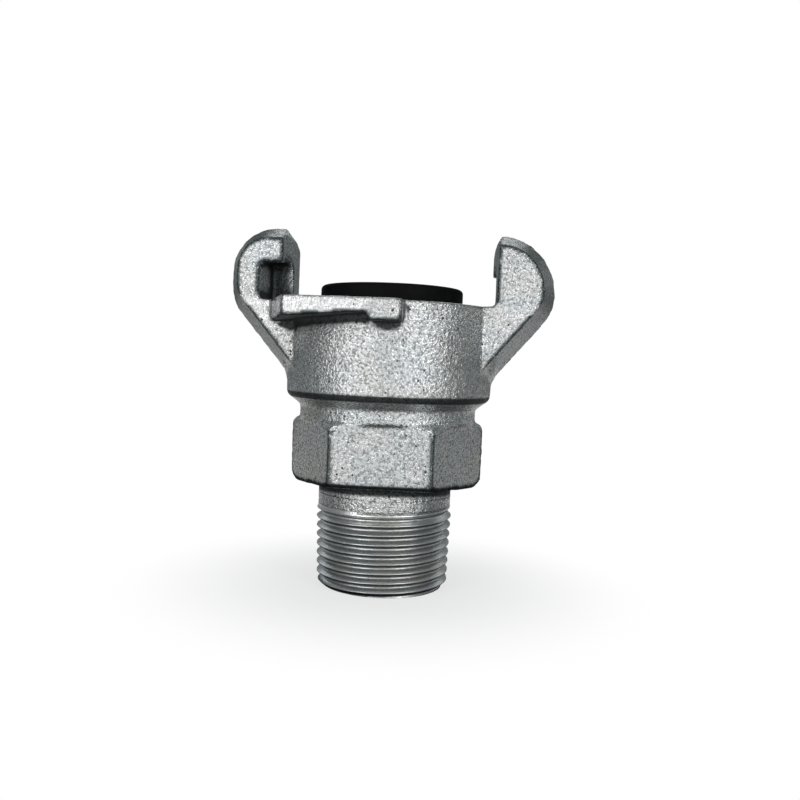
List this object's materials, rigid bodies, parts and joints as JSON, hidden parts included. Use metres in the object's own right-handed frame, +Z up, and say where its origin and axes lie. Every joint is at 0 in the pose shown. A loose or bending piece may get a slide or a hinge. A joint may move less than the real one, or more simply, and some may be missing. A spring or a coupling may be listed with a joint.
{
  "type": "claw hose coupling",
  "caption": "Claw coupling half for compressed air hose: a zinc-plated cast head with hooked claws and ramped ledges, wrench hexagon, male pipe thread and rubber sealing washer.",
  "frame": {"origin": "centre of the thread's end face, on the axis of the bore", "axes": "+Z up the bore towards the head; the claws lie at -X and +X; the hook window at -X opens to -Y and the one at +X opens to +Y"},
  "size_m": [0.064, 0.0486, 0.0701],
  "materials": {
    "plated_casting": "rough casting, bright zinc plating",
    "washer_rubber": "matt black"
  },
  "bodies": {
    "root": {"coupling_body": "plated_casting", "sealing_washer": "washer_rubber"}
  },
  "joints": []
}
